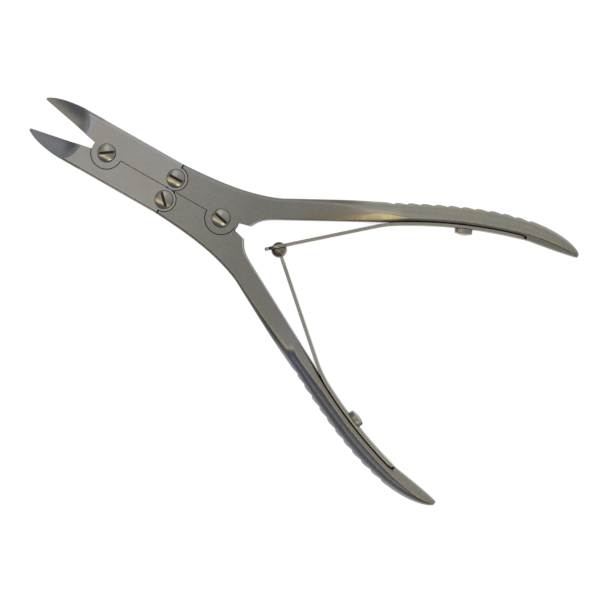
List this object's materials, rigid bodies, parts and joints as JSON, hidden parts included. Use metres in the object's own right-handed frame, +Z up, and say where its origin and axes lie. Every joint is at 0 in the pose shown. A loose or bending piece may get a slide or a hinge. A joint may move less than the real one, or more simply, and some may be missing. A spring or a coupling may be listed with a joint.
{
  "type": "bone cutting forceps",
  "caption": "Double-action bone cutting forceps with straight hollow-ground jaws, bowed serrated grips and a ball-jointed double leaf spring.",
  "frame": {"origin": "centre of the open forceps' footprint, on the flat underside of the box", "axes": "+X towards the handle ends, +Y towards the upper handle, +Z up through the screw heads, with the forceps lying flat"},
  "size_m": [0.1842, 0.1034, 0.0088],
  "materials": {
    "satin_steel": "satin ground stainless steel",
    "polished_screw": "polished slotted screw",
    "spring_steel": "satin spring steel",
    "ball_steel": "dark polished ball"
  },
  "bodies": {
    "upper_lever": {"upper_handle": "satin_steel", "upper_link_screw": "polished_screw", "upper_spring_screw": "polished_screw"},
    "lower_lever": {"lower_handle": "satin_steel", "handle_pivot_screw": "polished_screw", "lower_link_screw": "polished_screw", "lower_spring_screw": "polished_screw"},
    "upper_blade": {"upper_jaw": "satin_steel"},
    "lower_blade": {"lower_jaw": "satin_steel", "jaw_pivot_screw": "polished_screw"},
    "upper_leaf": {"upper_spring_leaf": "spring_steel"},
    "lower_leaf": {"lower_spring_leaf": "spring_steel", "spring_ball": "ball_steel"}
  },
  "joints": [
    {"name": "handle_pivot", "type": "hinge", "parent": "upper_lever", "child": "lower_lever", "pos_m": [-0.01894, 0, 0.0038], "axis": [0, 0, 1], "range_deg": [0, 28.3], "stiffness_Nm_per_rad": 2, "springref_deg": -11.46},
    {"name": "upper_link_pivot", "type": "hinge", "parent": "upper_lever", "child": "upper_blade", "pos_m": [-0.03899, 0.0041, 0.0038], "axis": [0, 0, 1], "range_deg": [0, 25.5]},
    {"name": "jaw_pivot", "type": "hinge", "parent": "upper_blade", "child": "lower_blade", "pos_m": [-0.06394, 0, 0.0038], "axis": [0, 0, 1], "range_deg": [-22.6, 0]},
    {"name": "upper_leaf_flex", "type": "hinge", "parent": "upper_lever", "child": "upper_leaf", "pos_m": [0.02889, 0.02417, 0.0038], "axis": [0, 0, 1], "range_deg": [-10.3, 0], "deforming": ["upper_spring_leaf"]},
    {"name": "lower_leaf_flex", "type": "hinge", "parent": "lower_lever", "child": "lower_leaf", "pos_m": [0.03626, -0.0285, 0.0038], "axis": [0, 0, 1], "range_deg": [0, 7.95], "deforming": ["lower_spring_leaf"]}
  ],
  "couplings": [
    {"joint": "upper_link_pivot", "follows": "handle_pivot", "ratio": 0.89759},
    {"joint": "jaw_pivot", "follows": "handle_pivot", "ratio": -0.79517},
    {"joint": "upper_leaf_flex", "follows": "handle_pivot", "ratio": -0.3595},
    {"joint": "lower_leaf_flex", "follows": "handle_pivot", "ratio": 0.2776}
  ]
}
